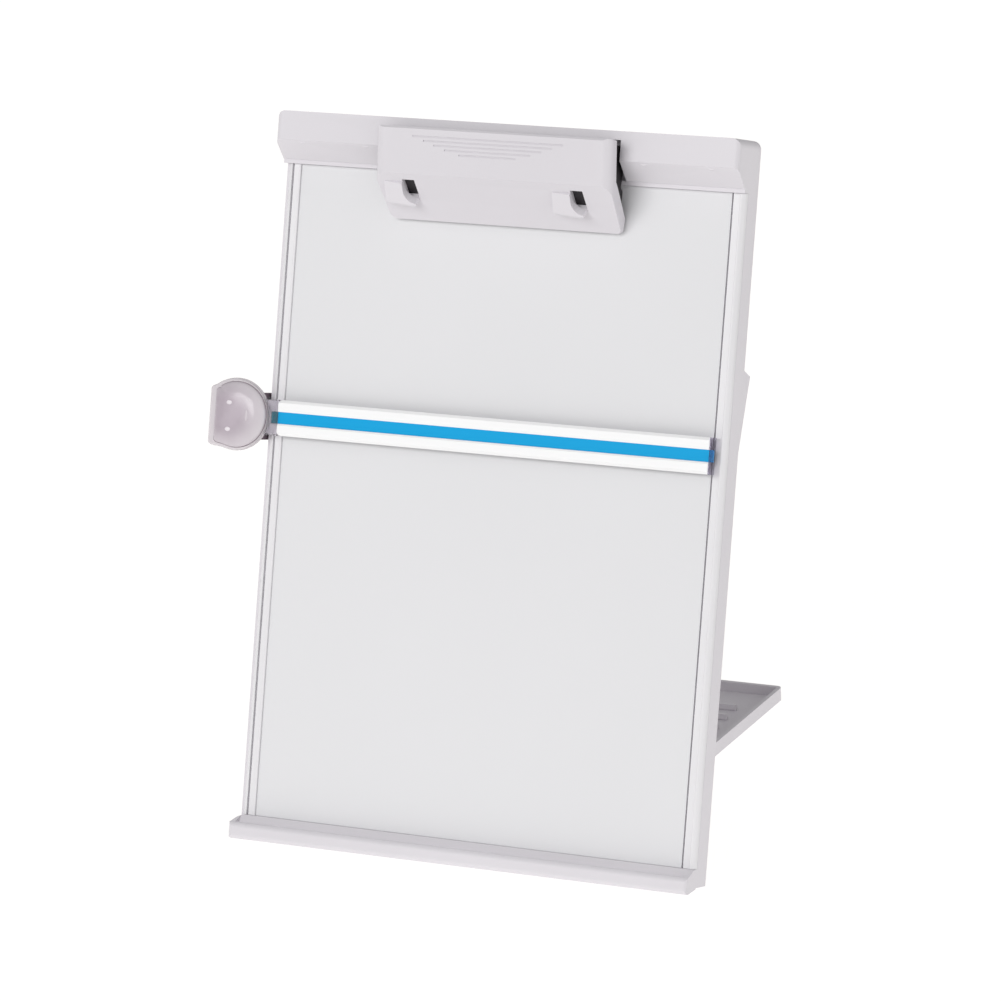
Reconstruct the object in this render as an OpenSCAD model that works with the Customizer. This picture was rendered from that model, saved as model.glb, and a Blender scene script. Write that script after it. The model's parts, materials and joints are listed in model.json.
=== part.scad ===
// Desktop copyholder: a leaning panel with a spring clip, a sliding line guide and a folding rear foot.
// Board parts are drawn in the board's own plane (x right, y backwards, z up the board) and then leaned.
// The panel's front face is the plane y = 0 of the board.

/* [Board] */
// Width of the board
board_w = 226; // [222:1:240]
// Height of the board, measured up its face
board_h = 333; // [330:1:345]
// Depth from the panel's face to the back edge of the shell
board_t = 14; // [13:0.5:16]
// Angle that the board leans back from upright
lean = 18; // [17:0.5:19]
// Thickness of the panel sheet
panel_t = 2; // [1.5:0.1:2.5]
// Thickness of the shell's front plate
plate_t = 2.6; // [2:0.1:3]
// Thickness of the shell's outer walls
wall_t = 3; // [2.5:0.1:3.5]
// Radius of the board's top corners
corner_r = 4; // [2:0.5:6]

/* [Rails] */
// Width of the left rail, which carries the slider
rail_left_w = 7.8; // [7.6:0.1:8.2]
// Width of the right rail
rail_right_w = 5.9; // [5.5:0.1:6.5]
// Height of the rails' crown above the panel
rail_rise = 1.2; // [1:0.1:1.5]
// Width of the slider's groove in the left rail
groove_w = 1; // [0.9:0.1:1.2]

/* [Header and ledge] */
// Height of the header bar, measured up the board
header_h = 23.7; // [22:0.1:26]
// How far the header's flat face stands in front of the panel
header_rise = 13; // [12:0.5:14]
// Height of the header's flat face
header_flat = 13.2; // [12:0.1:14]
// Half width of the header's cut-out for the clip
cutout_half = 56.6; // [56:0.1:57]
// Height of the paper ledge
ledge_h = 8.5; // [8:0.1:9]
// How far the ledge stands in front of the panel
ledge_rise = 10; // [8:0.5:12]

/* [Clip] */
// Half width of the clip at its top
clip_half = 57.5; // [57:0.1:58]
// How far the top of the clip's grip face stands in front of the panel
clip_rise = 27; // [26.6:0.1:27.2]
// Wall thickness of the clip cover
clip_t = 2.2; // [2:0.1:2.4]
// Radius of the clip's axle
axle_r = 1.5; // [1.4:0.1:1.6]

/* [Line guide] */
// Height of the guide's middle line up the board
guide_z = 192.5; // [150:0.5:230]
// Height of the guide bar
guide_h = 16.5; // [15:0.5:18]
// Height of the coloured stripe
stripe_h = 5.4; // [4:0.2:6]
// Radius of the knob's round side
knob_r = 16.9; // [16:0.1:18]

/* [Rear foot] */
// Length of the foot from its hinge
foot_len = 224; // [222:1:226]
// Half width of the foot at its hinge
foot_front_half = 53.1; // [53:0.1:56]
// Half width of the foot at its free end
foot_rear_half = 67.7; // [66:0.1:68]
// Height of the foot's rim
foot_h = 6.5; // [6:0.1:7]
// Distance between the notches that hold the prop
notch_pitch = 12.5; // [12.3:0.1:12.7]
// Radius of the foot and prop hinge pins
pin_r = 1.6; // [1.5:0.1:1.7]

/* [Hidden] */
$fn = 48;

half_w = board_w / 2;
run = 0.05;              // radial running clearance of every pin
gap = 0.1;               // assembly gap between fixed parts
plate_y = panel_t + plate_t;

// How the leaning board stands on the floor
strip_lift = 0.6;
lift = board_t * sin(lean) + strip_lift;
strip_depth = 8.4;
base_y = (board_t - strip_depth / 2) * cos(lean);
function world_y(y, z) = -base_y + y * cos(lean) + z * sin(lean);
function world_z(y, z) = lift - y * sin(lean) + z * cos(lean);

// Levels up the board
ledge_z = ledge_h;
header_z = board_h - header_h;
lip_h = 1.9;
lip_rise = 2.5;
header_end_r = 2.5;
ledge_left = half_w + 1.2;
ledge_right = half_w;
ledge_drop = 2.2;

// Side limits of the panel sheet
panel_left = -half_w + rail_left_w + gap;
rail_gap = 0.9;
panel_right = half_w - rail_right_w - rail_gap;

// Slider groove in the shell's left wall
side_wall = 5;
side_groove_y = 3;
side_groove_h = 2.2;
side_groove_d = 2;

// Screws
screw_r = 1.5;
head_r = 2.6;
head_h = 1.8;
header_screw_x = [-100, -68, 68, 100];
header_screw_z = board_h - 11;
ledge_screw_x = [-85, 0, 85];
ledge_screw_z = 4.4;
ledge_screw_len = 6.8;

// Clip
axle_y = -9;
axle_z = board_h - 19;
bracket_t = 1.4;
bracket_half = 34;
bracket_ear_x = 29;
bracket_ear_t = 3;
clip_ear_x = 32.6;
clip_ear_t = 3;
clip_screw_x = 16;
clip_screw_z = board_h - 12;
clip_top = board_h - 4.2;
clip_break = board_h - 25.3;
clip_bottom = board_h - 45.5;
clip_break_y = -24.3;
clip_edge_y = -3;
clip_tip_y = -1.3;
clip_side = 7;
clip_end_r = 5;
slope_angle = atan2(clip_edge_y - clip_break_y, clip_break - clip_bottom);
face_tilt = atan2(clip_rise + clip_break_y, clip_top - clip_break);
frame_half = 54.6;
frame_t = 1.4;
plate_depth = clip_t + 0.15;
plate_drop = 25.4;
frame_back_y = -7;
frame_foot_y = -1.7;
header_wall = 2.2;
header_top_wall = 4;
groove_x = 3.7;
hook_x = [-53.6, 28.3];
hook_drop = 17.3;
groove_count = 5;

// Line guide, measured from the panel towards the front
carriage_front = 2.7;
ruler_t = 0.6;
guide_front = 5.2;
guide_left = -half_w - 4;
cover_left = -half_w + 7.3;
cover_right = half_w - 6.7;
guide_right = half_w - 4.5;
stripe_left = -half_w + 4;
stripe_y = 4.02;
stripe_t = 0.36;
carriage_half = 10.8;
knob_x = -half_w - 14.2;
knob_flat_x = -half_w - 27.4;
knob_flat_high = 12.9;
knob_flat_low = 15.3;
knob_back = 2.7;
knob_seam = 4.2;
knob_top = 10.8;
dome_r = 30;

// Foot hinge, and prop hinge, in the board's plane
foot_axis_y = 10;
foot_axis_z = 7.5;
prop_axis_y = 9.5;
prop_axis_z = 70;
foot_y = world_y(foot_axis_y, foot_axis_z);
foot_z = world_z(foot_axis_y, foot_axis_z);
prop_y = world_y(prop_axis_y, prop_axis_z);
prop_z = world_z(prop_axis_y, prop_axis_z);
pad_lift = 0.5;
foot_floor = 1.6;
foot_wall = 2;
foot_start = 4.7;
foot_corner = 2.6;
ear_x = 31.4;
ear_w = 13.2;
ear_r = 3;
lug_t = 4;
lug_r = 3.9;
notch_count = 7;
notch_first = 122.9;
notch_h = 3;
notch_half = 52.7;
toe_r = 1.5;
toe_b = notch_first + 3.4 + toe_r;
toe_z = pad_lift + foot_floor + 0.8 + toe_r;
prop_len = norm([foot_y + toe_b - prop_y, toe_z - prop_z]);
prop_dir = atan2(toe_z - prop_z, foot_y + toe_b - prop_y);
prop_half = 39;
prop_t = 3;
prop_barrel_r = 3.4;
prop_lug_x = 41;

// Leans what is drawn in the board's plane
module on_board() {
    translate([0, -base_y, lift]) rotate([-lean, 0, 0]) children();
}

// Extrudes a (y, z) outline along x
module along_x(x0, x1) {
    translate([x0, 0, 0]) rotate([90, 0, 90]) linear_extrude(x1 - x0) children();
}

// Extrudes an (x, z) outline along y
module along_y(y0, y1) {
    translate([0, y1, 0]) rotate([90, 0, 0]) linear_extrude(y1 - y0) children();
}

// Round bar along x through (y, z)
module bar_x(x0, x1, y, z, r) {
    translate([x0, y, z]) rotate([0, 90, 0]) cylinder(h = x1 - x0, r = r);
}

// Round bar along y through (x, z)
module bar_y(y0, y1, x, z, r) {
    translate([x, y1, z]) rotate([90, 0, 0]) cylinder(h = y1 - y0, r = r);
}

// The board's front outline with its two round top corners
module board_outline() {
    translate([-half_w, 0]) square([board_w, board_h - corner_r]);
    translate([-half_w + corner_r, 0]) square([board_w - 2 * corner_r, board_h]);
    for (s = [-1, 1]) translate([s * (half_w - corner_r), board_h - corner_r]) circle(corner_r);
}

// Pan-head screw along y: head at the back, point towards the front
module screw_y(x, z, y_head, depth) {
    bar_y(y_head, y_head + head_h, x, z, head_r);
    bar_y(y_head - depth, y_head + 0.1, x, z, screw_r);
}

module hinge_lug(x0, y, z, r) {
    bar_x(x0, x0 + lug_t, y, z, r);
    along_x(x0, x0 + lug_t) translate([plate_y - 0.1, z - r]) square([y - plate_y + 0.1, 2 * r]);
}

// Wedge-shaped bumper on the back, beside the folded foot's free end
module bumper(side) {
    bumper_w = 12;
    x0 = side > 0 ? half_w - bumper_w : -half_w;
    along_x(x0, x0 + bumper_w) polygon([
        [plate_y - 0.1, 231], [board_t, 231], [board_t + 7.8, 228.4], [board_t, 194], [plate_y - 0.1, 194]
    ]);
}

module shell_ribs() {
    rib_t = 2;
    low_rib = 3.1;
    bay_x = 71;
    for (s = [-1, 1]) {
        wall_x = s > 0 ? bay_x : -bay_x - rib_t;
        rib_x = s > 0 ? bay_x : -half_w + 1;
        translate([wall_x, plate_y - 0.1, 1]) cube([rib_t, board_t - plate_y - 1, 246]);
        for (z = [44, 94, 144, 186]) translate([rib_x, plate_y - 0.1, z])
            cube([half_w - bay_x - 1, low_rib, rib_t]);
    }
    for (z = [245, 288]) translate([-half_w + 1, plate_y - 0.1, z]) cube([board_w - 2, low_rib, rib_t]);
}

module back_shell() {
    color("gainsboro") on_board() difference() {
        union() {
            difference() {
                along_y(panel_t, board_t) board_outline();
                translate([-half_w + side_wall, plate_y, wall_t])
                    cube([board_w - side_wall - wall_t, board_t, board_h - 2 * wall_t]);
            }
            shell_ribs();
            for (s = [-1, 1]) bumper(s);
            for (x = [-ear_x - ear_w - 0.4 - lug_t, -ear_x + 0.4, ear_x - 0.4 - lug_t, ear_x + ear_w + 0.4])
                hinge_lug(x, foot_axis_y, foot_axis_z, lug_r);
            for (x = [-prop_lug_x - lug_t, prop_lug_x]) hinge_lug(x, prop_axis_y, prop_axis_z, lug_r);
        }
        bar_x(-60, 60, foot_axis_y, foot_axis_z, pin_r + run);
        bar_x(-60, 60, prop_axis_y, prop_axis_z, pin_r + run);
        for (x = header_screw_x) bar_y(0, plate_y + 1, x, header_screw_z, screw_r + run);
        for (x = ledge_screw_x) {
            bar_y(0, plate_y + 1, x, ledge_screw_z, screw_r + run);
            bar_y(plate_y, board_t + 1, x, ledge_screw_z, head_r + 0.3);
        }
        for (s = [-1, 1]) bar_y(0, plate_y + 1, s * clip_screw_x, clip_screw_z, screw_r + run);
        translate([-half_w - 1, side_groove_y, ledge_z])
            cube([side_groove_d + 1, side_groove_h, header_z - ledge_z]);
    }
}

module panel_sheet() {
    color("lightgray") on_board()
        translate([panel_left, 0, ledge_z + gap])
            cube([panel_right - panel_left, panel_t - 0.02, header_z - ledge_z - 2 * gap]);
}

// Rail section: x runs inwards from the board's outer edge, y backwards. A round outer shoulder,
// a flat strip beside it, and a narrow bead along the rail at bead_x
module rail_section(width, round_r, crown_w, strip_rise, bead_x, bead_r) {
    circle_y = round_r - rail_rise - (round_r > 5 ? 0.5 : 0);
    intersection() {
        translate([round_r, circle_y]) circle(round_r, $fn = 96);
        translate([0, -rail_rise - 1]) square([crown_w, panel_t + rail_rise + 1]);
    }
    translate([crown_w - 0.01, -strip_rise]) square([width - crown_w + 0.01, panel_t + strip_rise]);
    translate([bead_x, -strip_rise]) circle(bead_r);
}

module left_rail() {
    strip_rise = 0.6;
    bead_r = 0.5;
    color("gainsboro") on_board() translate([-half_w, 0, ledge_z + gap])
        linear_extrude(header_z - ledge_z - 2 * gap) difference() {
            rail_section(rail_left_w, 7.5, groove_x, strip_rise, rail_left_w - 0.1, bead_r);
            translate([groove_x, -rail_rise]) square([groove_w, 2 * rail_rise]);
        }
}

module right_rail() {
    strip_rise = 0.4;
    bead_x = 2.2;
    color("gainsboro") on_board() translate([half_w, 0, ledge_z + gap])
        linear_extrude(header_z - ledge_z - 2 * gap)
            mirror([1, 0]) rail_section(rail_right_w, 2.5, bead_x, strip_rise, bead_x, 0.8);
}

module header_profile() {
    polygon([
        [panel_t, header_z], [-lip_rise, header_z], [-lip_rise, header_z + lip_h],
        [-lip_rise - 0.5, header_z + lip_h], [-header_rise, board_h - header_flat],
        [-header_rise, board_h], [panel_t, board_h]
    ]);
}

// Plan outline with round front corners, for trimming the ends of a bar
module round_front(left, right, front, r_left, r_right) {
    r_most = max(r_left, r_right);
    translate([-left, -front + r_most]) square([left + right, front + panel_t + 1 - r_most]);
    translate([-left + r_left, -front]) square([left + right - r_left - r_right, r_most + 0.01]);
    translate([-left + r_left, -front + r_left]) circle(r_left);
    translate([right - r_right, -front + r_right]) circle(r_right);
    translate([right - r_right, -front + r_right]) square([r_right, r_most - r_right + 0.01]);
}

module header_cavity() {
    polygon([
        [panel_t + 1, header_z + 3.8], [-1.5, header_z + 3.8],
        [-header_rise + header_wall, board_h - header_flat + 1],
        [-header_rise + header_wall, board_h - header_wall], [panel_t + 1, board_h - header_wall]
    ]);
}

module header_cap() {
    boss_depth = 8;
    color("gainsboro") on_board() difference() {
        union() {
            difference() {
                intersection() {
                    along_x(-half_w, half_w) header_profile();
                    along_y(-header_rise - 1, panel_t) board_outline();
                    linear_extrude(board_h + 1)
                        round_front(half_w, half_w, header_rise, header_end_r, header_end_r);
                }
                for (s = [-1, 1]) {
                    inner = cutout_half + 2;
                    outer = half_w - header_wall;
                    along_x(s > 0 ? inner : -outer, s > 0 ? outer : -inner) header_cavity();
                }
                translate([-cutout_half, -header_rise - 1, header_z + lip_h])
                    cube([2 * cutout_half, header_rise + 1, header_h - lip_h - header_top_wall]);
            }
            for (x = header_screw_x) bar_y(-header_rise + 1, panel_t, x, header_screw_z, 3.6);
        }
        for (x = header_screw_x) bar_y(-boss_depth, panel_t + 1, x, header_screw_z, screw_r + run);
        for (s = [-1, 1]) bar_y(-1, panel_t + 1, s * clip_screw_x, clip_screw_z, screw_r + run);
    }
}

// Side profile of the ledge: a round front lip, a channel that the paper stands in, and a back wall
module ledge_profile() {
    lip_r = 2.7;
    lip_z = 2.9;
    heel_r = 2.3;
    channel_z = 5;
    translate([-ledge_rise + lip_r, lip_z]) circle(lip_r);
    translate([-ledge_rise + heel_r, heel_r - ledge_drop]) circle(heel_r);
    polygon([
        [-ledge_rise, lip_z], [-ledge_rise, heel_r - ledge_drop], [-ledge_rise + heel_r, -ledge_drop],
        [panel_t, -0.5], [panel_t, ledge_h], [-1.4, ledge_h], [-2.1, ledge_h - 0.7],
        [-4.2, channel_z], [-ledge_rise + lip_r, channel_z], [-ledge_rise + lip_r, lip_z]
    ]);
}

// Side profile of the ledge's closed ends
module ledge_end() {
    polygon([[-ledge_rise + 2.7, 5.6], [-ledge_rise + 2.7, 2], [-1.4, 2], [-1.4, ledge_h]]);
}

// Front outline of the ledge: a full round at the left end and a square right end
module ledge_outline() {
    high_r = 4.6;
    low_r = 2.4;
    top = ledge_h;
    translate([-ledge_left + high_r, -ledge_drop])
        square([ledge_left + ledge_right - high_r, top + ledge_drop]);
    translate([-ledge_left + low_r, -ledge_drop]) square([high_r, low_r + 0.1]);
    translate([-ledge_left, low_r - ledge_drop]) square([high_r + 0.1, top + ledge_drop - high_r - low_r]);
    translate([-ledge_left + high_r, top - high_r]) circle(high_r);
    translate([-ledge_left + low_r, low_r - ledge_drop]) circle(low_r);
}

module ledge_bar() {
    color("gainsboro") on_board() difference() {
        intersection() {
            union() {
                along_x(-ledge_left, ledge_right) ledge_profile();
                along_x(-ledge_left, -half_w + 1.5) ledge_end();
                along_x(ledge_right - 2.5, ledge_right) ledge_end();
            }
            along_y(-ledge_rise - 1, panel_t + 1) ledge_outline();
            translate([0, 0, -ledge_drop]) linear_extrude(ledge_h + ledge_drop)
                round_front(ledge_left, ledge_right, ledge_rise, 3, 1.5);
        }
        for (x = ledge_screw_x)
            bar_y(plate_y - ledge_screw_len - 0.4, panel_t + 1, x, ledge_screw_z, screw_r + run);
    }
}

// Rubber wedge under the board, with a level underside
module base_strip() {
    y0 = board_t - strip_depth;
    color("silver") along_x(-95, 95) polygon([
        [world_y(board_t, 0), 0], [world_y(board_t, 0), world_z(board_t, 0)],
        [world_y(y0, 0), world_z(y0, 0)], [world_y(y0, 0), 0]
    ]);
}

module header_screws() {
    color("silver") on_board() for (x = header_screw_x) screw_y(x, header_screw_z, plate_y, 12);
}

module ledge_screws() {
    color("silver") on_board() for (x = ledge_screw_x) screw_y(x, ledge_screw_z, plate_y, ledge_screw_len);
}

module clip_bracket() {
    color("silver") on_board() difference() {
        union() {
            translate([-bracket_half, -bracket_t, header_z + lip_h + 0.4])
                cube([2 * bracket_half, bracket_t, 17]);
            for (s = [-1, 1]) {
                x0 = s > 0 ? bracket_ear_x : -bracket_ear_x - bracket_ear_t;
                bar_x(x0, x0 + bracket_ear_t, axle_y, axle_z, 3.4);
                along_x(x0, x0 + bracket_ear_t) polygon([
                    [-0.5, axle_z + 8], [-0.5, axle_z - 2], [-lip_rise - 0.6, axle_z - 2.6],
                    [axle_y, axle_z - 3.4], [axle_y, axle_z + 3.4]
                ]);
            }
        }
        bar_x(-50, 50, axle_y, axle_z, axle_r + run);
        for (s = [-1, 1]) bar_y(-4, 1, s * clip_screw_x, clip_screw_z, screw_r + run);
    }
}

// Countersunk from the front of the bracket, so their points face backwards
module clip_screws() {
    color("silver") on_board() for (s = [-1, 1]) {
        bar_y(-bracket_t - 1.4, -bracket_t, s * clip_screw_x, clip_screw_z, head_r);
        bar_y(-bracket_t - 0.1, plate_y + 1, s * clip_screw_x, clip_screw_z, screw_r);
    }
}

module clip_axle() {
    color("silver") on_board() bar_x(-37, 37, axle_y, axle_z, axle_r);
}

// Coil of close turns, with one leg on the bracket and one reaching towards the cover
module clip_spring() {
    turns = 7;
    wire_r = 0.7;
    coil_r = axle_r + 0.5 + wire_r;
    pitch = 2 * wire_r - 0.05;
    start = -turns * pitch / 2 + pitch / 2;
    color("dimgray") on_board() {
        translate([start - wire_r, axle_y, axle_z]) rotate([0, 90, 0]) rotate_extrude($fn = 32) {
            for (i = [0:turns - 1]) translate([coil_r, wire_r + i * pitch]) circle(wire_r, $fn = 16);
        }
        translate([start, axle_y, axle_z]) rotate([45, 0, 0])
            translate([0, -coil_r, 0]) cylinder(h = 14.5, r = wire_r, $fn = 24);
        translate([-start, axle_y, axle_z]) rotate([-30, 0, 0])
            translate([0, coil_r, 0]) cylinder(h = 8, r = wire_r, $fn = 24);
    }
}

// Side profile of the clip: grip face, sloping face, tip, and the open back edge of its side walls
module clip_profile() {
    polygon([
        [-clip_rise + clip_side, clip_top - 0.4], [-clip_rise + 1, clip_top], [-clip_rise, clip_top - 1],
        [clip_break_y, clip_break], [clip_edge_y, clip_bottom], [clip_tip_y, clip_bottom],
        [clip_tip_y, clip_bottom + clip_side], [clip_break_y + clip_side, clip_break + 2.5]
    ]);
}

// Point inside the clip, depth inwards from the sloping face and drop down along it
function slope_point(depth, drop) = [
    clip_break_y + drop * sin(slope_angle) + depth * cos(slope_angle),
    clip_break - drop * cos(slope_angle) + depth * sin(slope_angle)
];

module clip_inside() {
    shift = clip_t / cos(slope_angle);
    floor_h = 2.6;
    polygon([
        [-clip_rise + clip_side + 2, clip_top - clip_t], [-clip_rise + clip_t + 0.4, clip_top - clip_t],
        [clip_break_y + clip_t, clip_break + (shift - clip_t) / tan(slope_angle)],
        [clip_edge_y + shift - floor_h * tan(slope_angle), clip_bottom + floor_h],
        [clip_tip_y + 1, clip_bottom + floor_h], [clip_tip_y + 1, clip_bottom + clip_side + 1],
        [clip_break_y + clip_side + 2, clip_break + 4]
    ]);
}

// Upright block along the grip face whose front edges are round
module clip_ends(inset) {
    half = clip_half - inset;
    r = clip_end_r - inset;
    reach = 60;
    translate([0, clip_break_y, clip_break]) rotate([face_tilt, 0, 0]) translate([0, inset, -reach / 2])
        linear_extrude(reach) {
            translate([-half, r]) square([2 * half, reach]);
            translate([-half + r, 0]) square([2 * (half - r), r + 0.01]);
            for (s = [-1, 1]) translate([s * (half - r), r]) circle(r);
        }
}

// Moves what is drawn onto the sloping face: outwards is -y, up the slope is +z
module on_slope() {
    translate([0, clip_break_y, clip_break]) rotate([slope_angle, 0, 0]) children();
}

// Curled plate beside its opening: flush at its top, it leans out of the sloping face towards its bottom edge
module clip_hook(x) {
    on_slope() translate([x, 0, -hook_drop]) rotate([0, 0, -6]) intersection() {
        along_x(-3, 16) polygon([[-0.3, 12], [-2.9, 1.4], [-2.3, -0.5], [1.3, -0.5], [1.3, 12]]);
        along_y(-4, 2) polygon(concat(
            [[-0.6, 0], [0, 11.9], [9, 11.9]],
            [for (a = [180:15:270]) [14.6 + 5.6 * cos(a), 7.9 + 5.6 * sin(a)]],
            [[14.8, 1.4], [13.6, 0.3], [7, -0.4]]
        ));
    }
}

// Front outline of the clip: sides draw in below the break, bottom corners are round
module clip_outline() {
    r = 2.8;
    low_half = clip_half - 1.1;
    translate([-clip_half, clip_break]) square([2 * clip_half, clip_top - clip_break]);
    polygon([
        [-clip_half, clip_break + 0.01], [-low_half, clip_bottom + r], [low_half, clip_bottom + r],
        [clip_half, clip_break + 0.01]
    ]);
    translate([-low_half + r, clip_bottom]) square([2 * (low_half - r), r + 0.01]);
    for (s = [-1, 1]) translate([s * (low_half - r), clip_bottom + r]) circle(r);
}

// Finger grooves across the grip face, each shorter than the one above
module grip_grooves() {
    middle = -2;
    for (i = [0:groove_count - 1]) {
        half = 36.6 - 5.2 * i - (i == groove_count - 1 ? 2 : 0);
        z = clip_top - 4.6 - 1.85 * i;
        groove_y = clip_break_y - (z - clip_break) * tan(face_tilt);
        translate([middle - half, groove_y - 1, z]) cube([2 * half, 1.4, 0.8]);
    }
}

module clip_cover() {
    color("gainsboro") on_board() {
        difference() {
            intersection() {
                along_x(-clip_half, clip_half) clip_profile();
                along_y(-clip_rise - 1, 1) clip_outline();
                clip_ends(0);
            }
            intersection() {
                along_x(-clip_half + clip_t, clip_half - clip_t) clip_inside();
                clip_ends(clip_t);
            }
            grip_grooves();
            for (x = hook_x) on_slope() translate([x + 9, -3, -hook_drop + 2.6]) cube([6, 6, 10.8]);
        }
        for (x = hook_x) clip_hook(x);
    }
}

// Outline of the inner moulding's end cheeks, kept clear of the header's lip
module frame_cheek() {
    front_y = clip_break_y + clip_t + 0.9;
    top = clip_top - clip_t - 0.5;
    lip_under = header_z - 0.9;
    polygon([
        slope_point(plate_depth, 2), [front_y, clip_break + 1.5], [front_y - 1.6, top], [-16, top],
        [frame_back_y, top + 0.6], [frame_back_y, header_z + 13], [-3, header_z + 8],
        [-3, lip_under + 4.5], [frame_foot_y - 2.4, lip_under],
        [frame_foot_y, lip_under - 2], [frame_foot_y, clip_bottom + 5],
        [frame_foot_y - 1.2, clip_bottom + 3.6],
        slope_point(plate_depth, plate_drop)
    ]);
}

// Inner moulding of the clip: a plate behind the sloping face, a cheek at each end and the axle's two ears
module clip_frame() {
    plate_top = -3;
    color("dimgray") on_board() difference() {
        union() {
            on_slope() translate([-frame_half, plate_depth, -plate_drop])
                cube([2 * frame_half, frame_t, plate_drop + plate_top]);
            for (x = [-frame_half, frame_half - frame_t]) along_x(x, x + frame_t) frame_cheek();
            for (x = [-clip_ear_x - clip_ear_t, clip_ear_x]) {
                bar_x(x, x + clip_ear_t, axle_y, axle_z, 3.4);
                along_x(x, x + clip_ear_t) polygon([
                    [axle_y, axle_z + 3.4], [axle_y - 6, axle_z + 1], slope_point(plate_depth + 0.3, 4),
                    slope_point(plate_depth + 0.3, 14), [axle_y + 3, axle_z - 1.6]
                ]);
            }
        }
        bar_x(-50, 50, axle_y, axle_z, axle_r + run);
    }
}

module clip_jaw_pad() {
    color("dimgray") on_board()
        translate([-50, clip_tip_y + 0.01, clip_bottom + 0.4]) cube([100, -clip_tip_y - 0.11, 4]);
}

// Runs in the rail's groove and in the slot of the board's side, and carries the guide and the knob
module slide_carriage() {
    back = side_groove_y + side_groove_h - 0.25;
    plate = 1.2;
    hook_t = 1.3;
    color("dimgray") on_board() translate([-half_w, 0, guide_z]) {
        translate([-2.3, -carriage_front, -guide_h / 2 + 0.5]) cube([8.8, plate, guide_h - 1]);
        translate([-20, -carriage_front, -4.5]) cube([18, plate, 9]);
        translate([groove_x + 0.15, -1.6, -guide_h / 2 + 0.5]) cube([groove_w - 0.3, 1.9, guide_h - 1]);
        translate([-1 - hook_t, -1.9, -carriage_half]) cube([hook_t, 1.9 + back, 2 * carriage_half]);
        translate([-1.1, side_groove_y + 0.25, -carriage_half])
            cube([2.8, side_groove_h - 0.5, 2 * carriage_half]);
    }
}

// Bowed leaf that presses on the rail's side
module slide_spring() {
    color("silver") on_board() translate([-half_w - 0.98, 0.4, guide_z - 9]) cube([0.5, 2.2, 18]);
}

// Clear ruler: a thin sole under the whole guide, with a thick block at each end
module guide_ruler() {
    sole_front = carriage_front + ruler_t;
    low = guide_z - guide_h / 2;
    color([0.62, 0.6, 0.64, 0.6]) on_board() difference() {
        union() {
            translate([guide_left, -sole_front, low])
                cube([guide_right - guide_left, ruler_t - 0.02, guide_h]);
            translate([guide_left, -guide_front, low])
                cube([cover_left - guide_left - gap, guide_front - carriage_front - 0.02, guide_h]);
            translate([cover_right + gap, -guide_front, low])
                cube([guide_right - cover_right - gap, guide_front - carriage_front - 0.02, guide_h]);
        }
        bar_y(-guide_front - 1, -knob_seam + 0.05, knob_x, guide_z, knob_r + 0.15);
        translate([stripe_left - gap, -stripe_y - stripe_t - 0.05, guide_z - stripe_h / 2 - gap])
            cube([board_w, stripe_t + 0.1, stripe_h + 2 * gap]);
    }
}

module guide_stripe() {
    color("deepskyblue") on_board() translate([stripe_left, -stripe_y - stripe_t, guide_z - stripe_h / 2])
        cube([guide_right - stripe_left, stripe_t, stripe_h]);
}

// Raised cover of the guide: bevelled edges and a shallow channel that holds the stripe
module guide_cover() {
    back = carriage_front + ruler_t + 0.02;
    half = guide_h / 2;
    bevel = 1.3;
    slot = stripe_h / 2 + 0.05;
    r = 1.8;
    color("white") on_board() translate([0, 0, guide_z]) intersection() {
        along_x(cover_left, cover_right) polygon([
            [-back, -half], [-back - 0.6, -half], [-guide_front, -half + bevel], [-guide_front, -slot - 0.8],
            [-guide_front + 0.4, -slot], [-stripe_y + 0.02, -slot], [-stripe_y + 0.02, slot],
            [-guide_front + 0.4, slot], [-guide_front, slot + 0.8], [-guide_front, half - bevel],
            [-back - 0.6, half], [-back, half]
        ]);
        along_y(-guide_front - 1, 0) {
            translate([cover_left + r, -half]) square([cover_right - cover_left - r, guide_h]);
            translate([cover_left, -half + r]) square([r + 0.01, guide_h - 2 * r]);
            for (s = [-1, 1]) translate([cover_left + r, s * (half - r)]) circle(r);
        }
    }
}

// D outline of the knob: a round side towards the board and a flat side away from it
module knob_outline(inset) {
    r = knob_r - inset;
    flat_x = knob_flat_x + inset;
    high = knob_flat_high - inset;
    low = knob_flat_low - inset;
    arc = [for (a = [-110:5:125]) [knob_x + r * cos(a), guide_z + r * sin(a)]];
    polygon(concat(arc, [
        [flat_x + 1.7, guide_z + high], [flat_x + 0.5, guide_z + high - 0.7], [flat_x, guide_z + high - 2],
        [flat_x, guide_z - low + 2], [flat_x + 0.5, guide_z - low + 0.7], [flat_x + 1.7, guide_z - low]
    ]));
}

// Back half of the knob, open on the board's side for the end of the ruler
module knob_base() {
    color([0.7, 0.67, 0.72, 0.6]) on_board() {
        difference() {
            along_y(-knob_seam, -knob_back - 0.02) knob_outline(0.3);
            translate([guide_left - gap, -knob_seam - 1, guide_z - guide_h / 2 - gap])
                cube([30, 3, guide_h + 2 * gap]);
        }
        for (s = [-1, 1]) bar_y(-knob_seam - 2.6, -knob_seam + 0.1, knob_x - 4.6, guide_z + s * 6.3, 1.5);
        translate([knob_x + 4.6, -knob_seam - 2.6, guide_z - 3.6]) cube([1.6, 2.7, 7.2]);
    }
}

module knob_cap() {
    color([0.8, 0.78, 0.8, 0.6]) on_board() difference() {
        intersection() {
            along_y(-knob_top - 1, -knob_seam - 0.02) knob_outline(0);
            translate([knob_x, -knob_top + dome_r, guide_z]) rotate([90, 0, 0]) rotate_extrude($fn = 96)
                intersection() {
                    circle(dome_r, $fn = 256);
                    translate([0, dome_r - knob_top]) square([knob_r + 2, knob_top]);
                }
        }
        bar_y(-knob_seam - 3, 0, knob_x, guide_z, knob_r - 4.6);
    }
}

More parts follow.
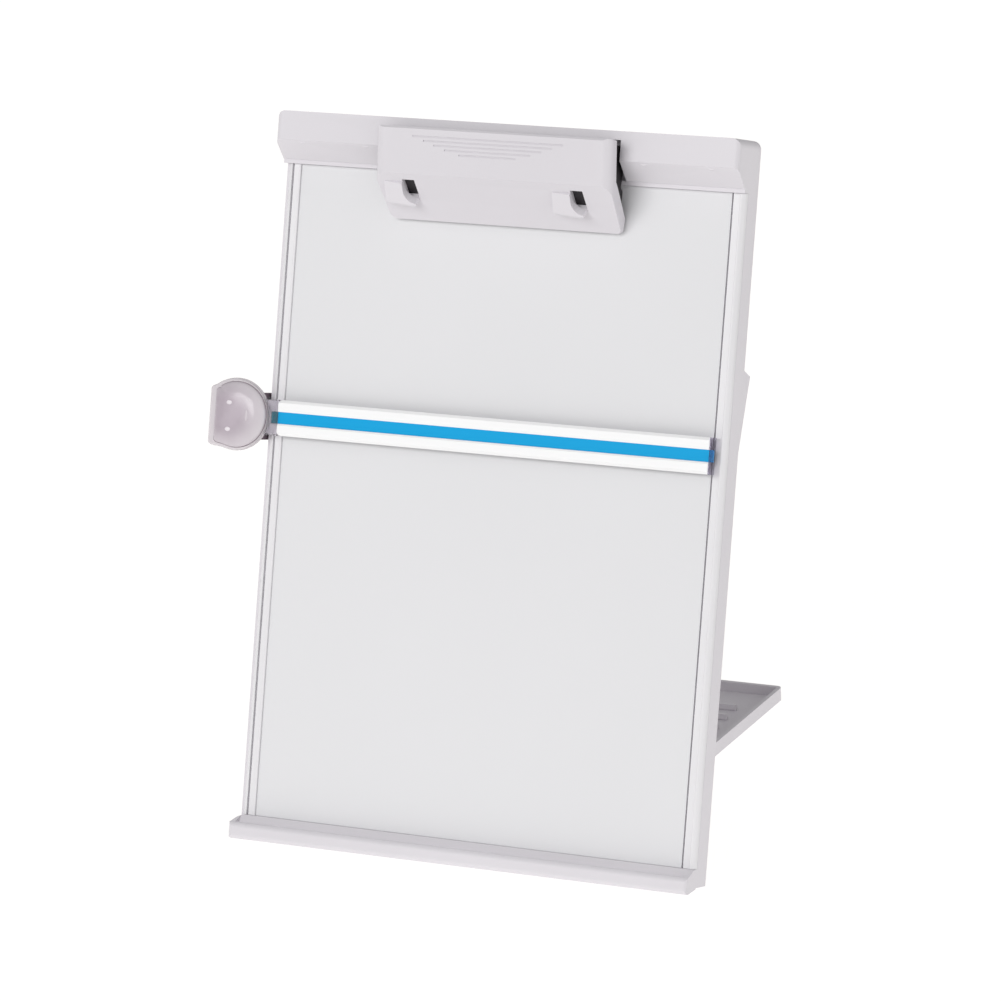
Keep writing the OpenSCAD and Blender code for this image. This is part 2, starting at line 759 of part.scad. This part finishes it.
function foot_half(b) = foot_front_half
    + (b - foot_start) * (foot_rear_half - foot_front_half) / (foot_len - foot_start);

// Plan outline of the foot, measured back from its hinge axis
module foot_outline(inset) {
    r = foot_corner - inset;
    rear = foot_len - inset;
    front = foot_start + inset;
    hf = foot_half(front) - inset;
    hr = foot_half(rear - r) - inset;
    polygon([[-hf, front], [hf, front], [hr, rear - r], [-hr, rear - r]]);
    translate([-hr + r, rear - 2 * r]) square([2 * (hr - r), 2 * r]);
    for (s = [-1, 1]) translate([s * (hr - r), rear - r]) circle(r);
}

module foot_ear(x0) {
    bar_x(x0, x0 + ear_w, 0, foot_z, ear_r);
    translate([x0, 0, foot_z - ear_r]) cube([ear_w, 8.4, ear_r + 1.5]);
    translate([x0, foot_start + 0.2, pad_lift]) cube([ear_w, 3.5, foot_z + 1.5 - pad_lift]);
}

// One cross rib that a prop toe stands behind
module notch_rib(b) {
    along_x(-notch_half, notch_half) translate([b, pad_lift + foot_floor - 0.1])
        polygon([[0.5, 0], [0.5, 0.7], [0.2, 0.7], [0.8, notch_h + 0.1], [2.3, notch_h + 0.1], [3, 0]]);
}

module foot_tray() {
    color("gainsboro") translate([0, foot_y, 0]) difference() {
        union() {
            difference() {
                translate([0, 0, pad_lift]) linear_extrude(foot_h) foot_outline(0);
                translate([0, 0, pad_lift + foot_floor]) linear_extrude(foot_h) foot_outline(foot_wall);
            }
            for (i = [0:notch_count - 1]) notch_rib(notch_first + notch_pitch * i);
            for (x = [-ear_x - ear_w, ear_x]) foot_ear(x);
        }
        bar_x(-60, 60, 0, foot_z, pin_r + run);
        for (x = [-50, 50]) translate([x, foot_len - 16, 0]) cylinder(h = pad_lift + 0.5, r = 7 + run);
    }
}

module foot_pads() {
    color("dimgray") translate([0, foot_y, 0])
        for (x = [-50, 50]) translate([x, foot_len - 16, 0]) cylinder(h = pad_lift + 0.5 - 0.02, r = 7);
}

module foot_pins() {
    reach = lug_t + 0.4;
    color("silver") on_board() for (s = [-1, 1]) {
        mid = s * (ear_x + ear_w / 2);
        half = ear_w / 2 + reach + 0.5;
        bar_x(mid - half, mid + half, foot_axis_y, foot_axis_z, pin_r);
    }
}

module prop_arm() {
    color("gainsboro") translate([0, prop_y, prop_z]) rotate([prop_dir, 0, 0]) difference() {
        union() {
            bar_x(-prop_half - 1.5, prop_half + 1.5, 0, 0, prop_barrel_r);
            translate([-prop_half, 0, 0]) cube([2 * prop_half, prop_len + 1.2, prop_t]);
            bar_x(-prop_half, prop_half, prop_len, 0, toe_r);
            for (x = [-30, -1, 28]) translate([x, 6, prop_t - 0.1]) cube([2, prop_len - 12, 1.1]);
        }
        bar_x(-60, 60, 0, 0, pin_r + run);
    }
}

module prop_pin() {
    color("silver") on_board()
        bar_x(-prop_lug_x - lug_t - 0.5, prop_lug_x + lug_t + 0.5, prop_axis_y, prop_axis_z, pin_r);
}

back_shell();
panel_sheet();
left_rail();
right_rail();
header_cap();
ledge_bar();
base_strip();
header_screws();
ledge_screws();
clip_bracket();
clip_screws();
clip_axle();
clip_spring();
clip_cover();
clip_frame();
clip_jaw_pad();
slide_carriage();
slide_spring();
guide_ruler();
guide_stripe();
guide_cover();
knob_base();
knob_cap();
foot_tray();
foot_pads();
foot_pins();
prop_arm();
prop_pin();
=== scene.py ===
import json
import math

import bmesh
import bpy
from mathutils import Matrix, Vector


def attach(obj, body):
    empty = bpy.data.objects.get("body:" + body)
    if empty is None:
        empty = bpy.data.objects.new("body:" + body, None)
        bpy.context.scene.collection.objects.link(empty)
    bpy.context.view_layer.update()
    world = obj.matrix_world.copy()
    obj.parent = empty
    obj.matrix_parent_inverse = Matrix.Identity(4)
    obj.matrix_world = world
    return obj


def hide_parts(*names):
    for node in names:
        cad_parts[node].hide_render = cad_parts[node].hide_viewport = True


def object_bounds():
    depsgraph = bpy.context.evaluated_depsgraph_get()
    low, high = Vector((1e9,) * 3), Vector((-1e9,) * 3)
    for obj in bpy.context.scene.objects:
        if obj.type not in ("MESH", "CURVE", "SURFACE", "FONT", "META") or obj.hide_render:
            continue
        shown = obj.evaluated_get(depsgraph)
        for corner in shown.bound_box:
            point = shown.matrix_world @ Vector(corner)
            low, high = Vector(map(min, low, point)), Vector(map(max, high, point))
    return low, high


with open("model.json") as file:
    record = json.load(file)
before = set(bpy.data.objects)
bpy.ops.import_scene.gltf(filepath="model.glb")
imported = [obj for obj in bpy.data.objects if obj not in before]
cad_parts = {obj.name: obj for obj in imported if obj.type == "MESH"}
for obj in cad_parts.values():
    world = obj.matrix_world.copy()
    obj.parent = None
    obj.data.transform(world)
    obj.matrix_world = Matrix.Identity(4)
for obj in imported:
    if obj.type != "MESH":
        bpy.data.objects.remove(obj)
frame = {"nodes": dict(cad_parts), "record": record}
cad_lo, cad_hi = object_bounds()
NODES = frame["nodes"]
scene = bpy.context.scene

# ---------------------------------------------------------------- the board's own plane
LEAN = math.radians(18)
BOARD_ORIGIN = Vector((0, -0.00932035, 0.00492624))  # the plane's zero point in the frame, in metres
UP = Vector((0, math.sin(LEAN), math.cos(LEAN)))
BACK = Vector((0, math.cos(LEAN), -math.sin(LEAN)))
MM = 0.001


def on_board(x, y, z):
    """Board-plane millimetres (x right, y back, z up the board) to the frame's metres."""
    return BOARD_ORIGIN + (Vector((x, 0, 0)) + BACK * y + UP * z) * MM


def board_box(node):
    """Lowest and highest corner of a CAD node in board-plane millimetres."""
    spots = [v.co - BOARD_ORIGIN for v in NODES[node].data.vertices]
    rows = [(p.x / MM, p.dot(BACK) / MM, p.dot(UP) / MM) for p in spots]
    return [min(c) for c in zip(*rows)], [max(c) for c in zip(*rows)]


# ---------------------------------------------------------------- camera, solved from the photo's perspective
LENS_MM = 179.82
SENSOR_MM = 36
CLIP_NEAR, CLIP_FAR = 0.05, 50
CAM_PLACE = Vector((0.885855, -1.898747, 0.904725))
CAM_RIGHT = Vector((0.91677591, 0.39608871, -0.05133867))
CAM_DOWN = Vector((0.08642774, -0.32223139, -0.94270736))
CAM_AHEAD = Vector((-0.38993867, 0.85981432, -0.32964704))


def make_camera():
    data = bpy.data.cameras.new("camera")
    data.sensor_width = SENSOR_MM
    data.lens = LENS_MM
    data.clip_start = CLIP_NEAR
    data.clip_end = CLIP_FAR
    cam = bpy.data.objects.new("camera", data)
    turn = Matrix((CAM_RIGHT, -CAM_DOWN, -CAM_AHEAD)).transposed()
    cam.matrix_world = Matrix.Translation(CAM_PLACE) @ turn.to_4x4()
    scene.collection.objects.link(cam)
    scene.camera = cam


# ---------------------------------------------------------------- materials
PAINTED_EDGE_HIGHLIGHT_RANGE = (0.51, 0.60)  # the painted edge highlight fades in over this range of pointiness
GRAIN_DEPTH = 0.0001
SWIRL_DEPTH = 0.0004

# Blends by place, in metres: where each starts and ends
TEAL_SHADE_END_X = (-0.1062, -0.1057)  # where the stripe's painted dark teal end beside the knob gives way to blue
THICK_END_X = (0.100, 0.105)  # the ruler's thick right end
TAB_SHADE_PAST_RULER = (0.0079, 0.0083)  # painted shade on the slider's tabs starts this far off the ruler's middle line, up or down the board
LID_SHADE_FADE_R = (0.0125, 0.0205)  # the lid's painted shade fades to a paler painted sheen over this range out from its middle


class Shader:
    """A Principled material with short helpers for its procedural nodes."""

    def __init__(self, name):
        self.material = bpy.data.materials.new(name)
        self.material.use_nodes = True
        self.tree = self.material.node_tree
        self.bsdf = self.tree.nodes["Principled BSDF"]
        self.where = self.tree.nodes.new("ShaderNodeTexCoord").outputs["Object"]

    def add(self, kind, **inputs):
        node = self.tree.nodes.new("ShaderNode" + kind)
        for key, value in inputs.items():
            self.put(node.inputs[key.replace("_", " ")], value)
        return node

    def put(self, socket, value):
        if isinstance(value, bpy.types.NodeSocket):
            self.tree.links.new(value, socket)
        else:
            socket.default_value = value

    def noise(self, scale, detail=2, stretch=None):
        where = self.where
        if stretch:
            where = self.add("Mapping", Vector=where, Scale=stretch).outputs["Vector"]
        return self.add("TexNoise", Vector=where, Scale=scale, Detail=detail).outputs["Fac"]

    def ramp(self, fac, low, high, start=0.3, end=0.7):
        node = self.add("ValToRGB", Fac=fac)
        first, last = node.color_ramp.elements
        first.position, last.position = start, end
        first.color, last.color = (*low, 1), (*high, 1)
        return node.outputs["Color"]

    def along_x(self):
        return self.add("SeparateXYZ", Vector=self.where).outputs["X"]

    def work_out(self, kind, operation, first, second):
        """Value of a Math or VectorMath node."""
        node = self.add(kind)
        node.operation = operation
        self.put(node.inputs[0], first)
        self.put(node.inputs[1], second)
        return node.outputs["Value"]

    def span(self, fac, low, high, start=0.0, end=1.0):
        keys = {"Value": fac, "From_Min": start, "From_Max": end, "To_Min": low, "To_Max": high}
        return self.add("MapRange", **keys).outputs["Result"]

    def mix(self, fac, a, b):
        node = self.tree.nodes.new("ShaderNodeMix")
        node.data_type = "RGBA"
        self.put(node.inputs["Factor"], fac)
        self.put(node.inputs["A"], a)
        self.put(node.inputs["B"], b)
        return node.outputs["Result"]

    # Pales sharp convex edges by pointiness: a painted highlight on them.
    def painted_edge_highlight(self, colour, pale, amount):
        point = self.tree.nodes.new("ShaderNodeNewGeometry").outputs["Pointiness"]
        return self.mix(self.span(point, 0, amount, *PAINTED_EDGE_HIGHLIGHT_RANGE), colour, (*pale, 1))

    def set(self, **inputs):
        for key, value in inputs.items():
            self.put(self.bsdf.inputs[key.replace("_", " ")], value)

    def bump(self, height, strength, distance):
        node = self.add("Bump", Strength=strength, Distance=distance, Height=height)
        self.set(Normal=node.outputs["Normal"])


def scaled(colour, k):
    return tuple(min(1.0, c * k) for c in colour)


def moulded(name, colour, rough=(0.4, 0.52), grain=2200, bump=0.08, edge_highlight=0.3, vary=0.03):
    """Injection-moulded plastic: cloudy colour, spark-eroded grain, and pale edges by pointiness as a painted
    highlight.
    """
    s = Shader(name)
    cloud = s.noise(9, detail=3)
    tone = s.ramp(cloud, scaled(colour, 1 - vary), scaled(colour, 1 + vary))
    s.set(Base_Color=s.painted_edge_highlight(tone, scaled(colour, 1.1), edge_highlight))
    fine = s.noise(grain)
    s.set(Roughness=s.span(fine, *rough), IOR=1.46)
    s.bump(fine, bump, GRAIN_DEPTH)
    return s.material


def clear(name, colour, rough, through, ior):
    """Smoky plastic, partly see-through, with faint moulding swirls."""
    s = Shader(name)
    swirl = s.noise(55)
    s.set(Base_Color=s.ramp(swirl, scaled(colour, 0.95), colour))
    s.set(Roughness=s.span(s.noise(700), rough * 0.7, rough * 1.3))
    s.set(Transmission_Weight=through, IOR=ior)
    s.bump(swirl, 0.05, SWIRL_DEPTH)
    return s.material


def steel(name, colour, rough):
    """Brushed steel: its grain runs along x."""
    s = Shader(name)
    grain = s.noise(3, detail=4, stretch=(30, 900, 900))
    s.set(Base_Color=s.ramp(grain, scaled(colour, 0.8), colour), Metallic=1.0)
    s.set(Roughness=s.span(grain, rough * 0.7, rough * 1.4))
    return s.material


def stripe_blue():
    """Blue strip: flow marks along it, and a dark teal end beside the knob, painted shade where it runs under
    the clear neck.
    """
    s = Shader("blue_strip")
    flow = s.noise(3, detail=3, stretch=(0.2, 3, 3))
    tone = s.ramp(flow, (0.004, 0.375, 0.74), (0.007, 0.405, 0.80))
    bright = s.span(s.along_x(), 0, 1, *TEAL_SHADE_END_X)
    # the dark teal is painted shade where the stripe runs under the clear neck
    s.set(Base_Color=s.mix(bright, (0.012, 0.165, 0.22, 1), tone))
    s.set(Roughness=s.span(s.noise(900), 0.3, 0.36), Specular_IOR_Level=0.1)
    return s.material


def smoky_ends():
    """Clear ruler: nearly colourless at the knob, darker and bluer in its thick right end."""
    s = Shader("smoky_clear")
    swirl = s.noise(55)
    left = s.ramp(swirl, (0.90, 0.88, 0.92), (0.95, 0.93, 0.96))
    thick = s.span(s.along_x(), 0, 1, *THICK_END_X)
    s.set(Base_Color=s.mix(thick, left, (0.72, 0.68, 0.80, 1)))
    s.set(Roughness=s.span(s.noise(700), 0.02, 0.06), Transmission_Weight=0.97, IOR=1.3)
    s.bump(swirl, 0.05, SWIRL_DEPTH)
    return s.material


def carriage_grey_shaded():
    """Slider: pale under the clear ruler, with painted shade darkening its two tabs above and below it."""
    s = Shader("carriage_grey_shaded")
    lo, hi = board_box("guide_ruler")
    ruler_up = ((lo[2] + hi[2]) / 2) * MM + BOARD_ORIGIN.dot(UP)
    up = s.work_out("VectorMath", "DOT_PRODUCT", s.where, tuple(UP))
    off = s.work_out("Math", "SUBTRACT", up, ruler_up)
    away = s.add("Math", Value=off)
    away.operation = "ABSOLUTE"
    pale = s.ramp(s.noise(60), (0.74, 0.72, 0.75), (0.78, 0.76, 0.79))
    tab_shade = s.span(away.outputs["Value"], 0, 1, *TAB_SHADE_PAST_RULER)
    # the dark colour on the tabs is painted shade beside the ruler's neck
    s.set(Base_Color=s.mix(tab_shade, pale, (0.17, 0.125, 0.155, 1)))
    fine = s.noise(1500)
    s.set(Roughness=s.span(fine, 0.5, 0.6))
    s.bump(fine, 0.08, GRAIN_DEPTH)
    return s.material


def knob_lid_painted_shade(middle):
    """Smoky lid: painted shade in mauve over its middle and a paler painted sheen towards its rim, with
    moulding swirls and a gloss coat.
    """
    s = Shader("knob_lid")
    out = s.work_out("VectorMath", "DISTANCE", s.where, tuple(middle))
    swirl = s.noise(70, detail=3)
    dark = s.ramp(swirl, (0.43, 0.37, 0.42), (0.51, 0.445, 0.50), 0.35, 0.65)
    s.set(Base_Color=s.mix(s.span(out, 0, 1, *LID_SHADE_FADE_R), dark, (0.72, 0.68, 0.71, 1)))
    s.set(Roughness=s.span(s.noise(900), 0.25, 0.35), IOR=1.4, Coat_Weight=0.4, Coat_Roughness=0.08)
    s.bump(swirl, 0.08, SWIRL_DEPTH)
    return s.material


GREY = moulded("moulded_grey", (0.715, 0.69, 0.725))
GREY_RAIL = moulded("rail_grey", (0.79, 0.78, 0.80), rough=(0.3, 0.4), bump=0.04)
GREY_PLATE = moulded(
    "panel_grey", (0.77, 0.768, 0.785), rough=(0.46, 0.54), grain=1600, bump=0.04, edge_highlight=0, vary=0.008)
WHITE = moulded(
    "white_gloss", (0.945, 0.945, 0.95), rough=(0.16, 0.24), grain=500, bump=0.02, edge_highlight=0.1, vary=0.01)
# Near-black plastic, made this dark as painted shade for the deep shade inside the clip and the header's
# cut-out beside it.
DARK_SHADE_PLASTIC = moulded("dark_grey", (0.022, 0.019, 0.022), rough=(0.5, 0.65))
RUBBER = moulded("rubber", (0.07, 0.07, 0.072), rough=(0.7, 0.88), bump=0.2, edge_highlight=0.1)
PALE_RUBBER = moulded("pale_rubber", (0.62, 0.61, 0.61), rough=(0.7, 0.88), bump=0.2, edge_highlight=0.1)
BLUE = stripe_blue()
SMOKY = smoky_ends()
STEEL = steel("steel", (0.60, 0.60, 0.61), 0.3)
CARRIAGE = carriage_grey_shaded()
KNOB_RIM = clear("knob_rim", (0.90, 0.85, 0.885), rough=0.10, through=0.22, ior=1.35)
# the dark mauve of the knob's seam and of the joint under its lid is painted shade in the gap between the
# knob's halves
KNOB_SEAM_SHADE = moulded("knob_seam", (0.31, 0.25, 0.29), rough=(0.4, 0.5))
KNOB_POST = moulded("knob_post", (0.64, 0.59, 0.63), rough=(0.3, 0.4))
KNOB_BOSS = moulded("knob_boss", (0.82, 0.77, 0.81), rough=(0.3, 0.4))
FLOOR = moulded(
    "floor_white", (0.20, 0.20, 0.20), rough=(0.8, 0.9), grain=40, bump=0, edge_highlight=0, vary=0.004)
SLOTS = {
    "light_grey_plastic": GREY,
    "panel_grey": GREY_PLATE,
    "white_plastic": WHITE,
    "smoky_clear_plastic": SMOKY,
    "blue_strip": BLUE,
    "dark_grey_plastic": DARK_SHADE_PLASTIC,
    "steel": STEEL,
    "rubber": RUBBER,
    "light_rubber": PALE_RUBBER,
}


def dress(obj, material):
    obj.data.materials.clear()
    obj.data.materials.append(material)


# ---------------------------------------------------------------- CAD nodes: finish and moulded edges
EDGE_ANGLE = math.radians(38)  # softer creases than this stay as they are
EDGE_SEGMENTS = 3
SOFT_EDGES = {  # bevel widths in millimetres
    "back_shell": 0.5, "header_cap": 0.45, "ledge_bar": 0.5, "clip_cover": 0.5, "left_rail": 0.15,
    "right_rail": 0.15, "guide_cover": 0.25, "guide_ruler": 0.2, "foot_tray": 0.35, "prop_arm": 0.4,
    "clip_frame": 0.2, "slide_carriage": 0.15, "clip_jaw_pad": 0.3, "base_strip": 0.2,
    "clip_bracket": 0.15,
}


def soften(obj, width):
    """A small moulded radius, in millimetres, on every sharp edge, smooth between them."""
    bevel = obj.modifiers.new("moulded_edge", "BEVEL")
    bevel.width = width * MM
    bevel.segments = EDGE_SEGMENTS
    bevel.limit_method = "ANGLE"
    bevel.angle_limit = EDGE_ANGLE
    bevel.use_clamp_overlap = True
    bevel.harden_normals = True
    for polygon in obj.data.polygons:
        polygon.use_smooth = True


def dress_cad():
    for row in frame["record"]["subparts"]:
        dress(NODES[row["node"]], SLOTS[row["material_slot"]])
    for node in ("left_rail", "right_rail"):
        dress(NODES[node], GREY_RAIL)
    dress(NODES["slide_carriage"], CARRIAGE)
    for node, width in SOFT_EDGES.items():
        soften(NODES[node], width)


# ---------------------------------------------------------------- the knob, in board-plane millimetres
ARC_POINTS = 48
ARC_ABOVE, ARC_BELOW = 125, 110  # degrees of the round side, each way from the middle
FLAT_ABOVE, FLAT_BELOW = 12.9, 15.3  # length of the flat side, each way from the middle
CORNER = 2.0  # radius where the flat side meets the round one
CORNER_STEPS = 4
CORNER_TURN = [math.radians(90 * k / CORNER_STEPS) for k in range(CORNER_STEPS + 1)]
CORNER_GAP = 0.3  # least gap in x between the arc's end and a corner
SHOULDER = 0.8  # the flat side ends at most this far inside the arc's end
OVAL_POINTS = 20

SEAM = 4.2  # depth of the joint between the knob's two halves
RIM_DROP = 4.2  # from the knob's front back to the rim's edge
LID_SHIFT = 1.3  # of the lid's outline, towards the board
LID_SHADE_MIDDLE_SHIFT = 1.5  # of the lid's darkest painted shade, away from the board
DOME_STEPS = 7
DOME_INSET = 2.6  # where the dome starts
DOME_REACH = 6.2  # how far in from there it rises
DOME_FLAT_INSET = 1.0  # added at the flat side, and gone at the top
DOME_LOW, DOME_HIGH = 2.2, 0.15  # its foot and its top, back from the knob's front
BOSSES = (  # offset x and z from the middle, half width and height, material
    (-0.9, 5.4, 1.4, 1.0, KNOB_BOSS),
    (-0.9, -6.9, 1.4, 1.0, KNOB_BOSS),
    (8.2, 0, 0.75, 2.6, KNOB_POST),
)
BOSS_FOOT, BOSS_SHOULDER = 1.0, 0.13  # back from the knob's front
BOSS_TIP = (0.8, 0.85)  # size of a boss's tip against its foot, in x and z


def d_middle(lo, hi):
    """Centre x and z and radius of the round side of the D that fills the box."""
    r = (hi[2] - lo[2]) / 2
    return hi[0] - r, (hi[2] + lo[2]) / 2, r


def d_outline(lo, hi, inset, flat_inset):
    """Closed D outline in the board's plane: round towards the board, flat away from it."""
    centre_x, centre_z, full_r = d_middle(lo, hi)
    flat_x = lo[0] + (inset if flat_inset is None else flat_inset)
    r = full_r - inset
    limit = math.degrees(math.acos((flat_x + CORNER + CORNER_GAP - centre_x) / r))
    first, last = -min(ARC_BELOW, limit), min(ARC_ABOVE, limit)
    spots = []
    for i in range(ARC_POINTS):
        a = math.radians(first + (last - first) * i / (ARC_POINTS - 1))
        spots.append((centre_x + r * math.cos(a), centre_z + r * math.sin(a)))
    for side, flat_half, end in ((1, FLAT_ABOVE - inset, last), (-1, FLAT_BELOW - inset, -first)):
        flat_half = max(flat_half, r * math.sin(math.radians(end)) - SHOULDER)
        for a in CORNER_TURN[::side]:
            x = flat_x + CORNER * (1 - math.sin(a))
            z = centre_z + side * (flat_half - CORNER * (1 - math.cos(a)))
            spots.append((x, z))
    return spots


def oval(x, z, half_x, half_z):
    turns = [2 * math.pi * i / OVAL_POINTS for i in range(OVAL_POINTS)]
    return [(x + half_x * math.cos(a), z + half_z * math.sin(a)) for a in turns]


def loft(name, rings, material):
    """Skins a stack of outlines of equal length, given as (outline, y), and caps both ends flat."""
    bm = bmesh.new()
    rows = [[bm.verts.new(on_board(x, y, z)) for x, z in outline] for outline, y in rings]
    count = len(rows[0])
    for low, high in zip(rows, rows[1:]):
        for i in range(count):
            j = (i + 1) % count
            bm.faces.new((low[i], low[j], high[j], high[i]))
    bm.faces.new(rows[-1])
    bm.faces.new(list(reversed(rows[0])))
    bmesh.ops.recalc_face_normals(bm, faces=bm.faces)
    mesh = bpy.data.meshes.new(name)
    bm.to_mesh(mesh)
    bm.free()
    for polygon in mesh.polygons:
        polygon.use_smooth = True
    obj = bpy.data.objects.new(name, mesh)
    scene.collection.objects.link(obj)
    dress(obj, material)
    return obj


def knob_piece(name, box, material, rows):
    """Lofts D outlines; a row is (inset, inset at the flat side or None for the same, depth)."""
    rings = [(d_outline(*box, inset, flat_inset), -depth) for inset, flat_inset, depth in rows]
    return loft(name, rings, material)


def dome_rows(front):
    """Rows of the lid's low dome, whose depth follows a sine over the inset."""
    low, high = front - DOME_LOW, front - DOME_HIGH
    rows = []
    for i in range(DOME_STEPS + 1):
        t = i / DOME_STEPS
        inset = DOME_INSET + DOME_REACH * t
        depth = low + (high - low) * math.sin(math.pi / 2 * t)
        rows.append((inset, inset + DOME_FLAT_INSET * (1 - t), depth))
    return rows


def make_bosses(middle_x, middle_z, front):
    bosses = []
    for i, (dx, dz, half_x, half_z, material) in enumerate(BOSSES):
        foot = oval(middle_x + dx, middle_z + dz, half_x, half_z)
        tip = oval(middle_x + dx, middle_z + dz, half_x * BOSS_TIP[0], half_z * BOSS_TIP[1])
        rings = [(foot, BOSS_FOOT - front), (foot, BOSS_SHOULDER - front), (tip, -front)]
        bosses.append(loft("knob_boss_%d" % i, rings, material))
    return bosses


def make_knob():
    lo, hi = cap_box = board_box("knob_cap")
    back = -board_box("knob_base")[1][1]
    front = -lo[1]
    rim = front - RIM_DROP
    middle_x, middle_z, _ = d_middle(lo, hi)
    lid_box = [(corner[0] + LID_SHIFT, corner[1], corner[2]) for corner in cap_box]
    lid_shade_look = knob_lid_painted_shade(on_board(middle_x - LID_SHADE_MIDDLE_SHIFT, 0, middle_z))
    rim_piece = knob_piece("knob_rim", cap_box, KNOB_RIM, [
        (0.9, None, SEAM + 0.5), (0.45, None, SEAM + 0.8), (0.3, None, rim - 1.4), (0.4, None, rim - 0.6),
        (0.75, None, rim - 0.15), (1.2, None, rim), (1.5, None, rim),
    ])
    # the joint ring under the lid wears the seam's dark painted shade
    joint = knob_piece("knob_joint", lid_box, KNOB_SEAM_SHADE, [
        (1.7, 2.4, rim - 0.5), (1.55, 2.2, rim + 0.04), (1.9, 2.9, rim + 0.05),
    ])
    lid = knob_piece("knob_lid", lid_box, lid_shade_look, [
        (2.0, 2.8, rim - 0.5), (1.85, 2.6, rim + 0.5), (1.95, 2.75, rim + 1.1), (2.25, 3.1, rim + 1.6),
        *dome_rows(front),
    ])
    seam_ring = knob_piece("knob_seam", cap_box, KNOB_SEAM_SHADE, [
        (1.1, None, SEAM - 0.2), (0.9, None, SEAM + 0.2), (0.9, None, SEAM + 0.7), (1.3, None, SEAM + 0.9),
    ])
    plate = knob_piece("knob_plate", cap_box, KNOB_RIM, [
        (0.6, None, back + 0.05), (0.1, None, back + 0.4), (0.1, None, SEAM - 0.3), (0.5, None, SEAM + 0.1),
    ])
    bosses = make_bosses(middle_x, middle_z, front)
    for piece in (rim_piece, joint, lid, seam_ring, plate, *bosses):
        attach(piece, "guide")
    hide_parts("knob_cap")
    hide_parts("knob_base")


# ---------------------------------------------------------------- stage and light
FLOOR_CELLS = 8
FLOOR_SIZE = 6
FLOOR_GLOW = (1.0, 0.99, 0.975, 1)
FLOOR_FADE = {"From Min": -0.75, "From Max": -0.25, "To Min": 0.5, "To Max": 0.92}  # glow over y, in metres
WORLD_STRENGTH = 0.42
LIGHTS = (  # name, place and size in metres, watts
    ("key", (-0.45, -1.75, 1.25), (1.3, 1.0), 20),
    ("side", (1.7, -0.1, 0.45), (1.0, 1.2), 4.2),
)


def make_floor():
    """Plain white floor that glows, less so towards the camera."""
    bm = bmesh.new()
    bmesh.ops.create_grid(bm, x_segments=FLOOR_CELLS, y_segments=FLOOR_CELLS, size=FLOOR_SIZE)
    mesh = bpy.data.meshes.new("floor")
    bm.to_mesh(mesh)
    bm.free()
    floor = bpy.data.objects.new("floor", mesh)
    scene.collection.objects.link(floor)
    dress(floor, FLOOR)
    tree = FLOOR.node_tree
    bsdf = tree.nodes["Principled BSDF"]
    bsdf.inputs["Emission Color"].default_value = FLOOR_GLOW
    place = tree.nodes.new("ShaderNodeTexCoord")
    split = tree.nodes.new("ShaderNodeSeparateXYZ")
    fade = tree.nodes.new("ShaderNodeMapRange")
    tree.links.new(place.outputs["Object"], split.inputs["Vector"])
    tree.links.new(split.outputs["Y"], fade.inputs["Value"])
    for key, value in FLOOR_FADE.items():
        fade.inputs[key].default_value = value
    tree.links.new(fade.outputs["Result"], bsdf.inputs["Emission Strength"])


def make_world(strength):
    world = bpy.data.worlds.new("studio")
    scene.world = world
    world.use_nodes = True
    background = world.node_tree.nodes["Background"]
    background.inputs["Color"].default_value = (1, 1, 1, 1)
    background.inputs["Strength"].default_value = strength


def area(name, place, target, size, power):
    """Rectangular lamp at a place, turned to face the target."""
    light = bpy.data.lights.new(name, "AREA")
    light.shape = "RECTANGLE"
    light.size, light.size_y = size
    light.energy = power
    lamp = bpy.data.objects.new(name, light)
    scene.collection.objects.link(lamp)
    lamp.location = place
    lamp.rotation_mode = "QUATERNION"
    lamp.rotation_quaternion = (Vector(target) - Vector(place)).to_track_quat("-Z", "Y")


make_camera()
dress_cad()
make_knob()
make_floor()
make_world(WORLD_STRENGTH)
for name, place, size, power in LIGHTS:
    area(name, place, (cad_lo + cad_hi) / 2, size, power)
scene.view_settings.view_transform = "Standard"
scene.view_settings.look = "None"
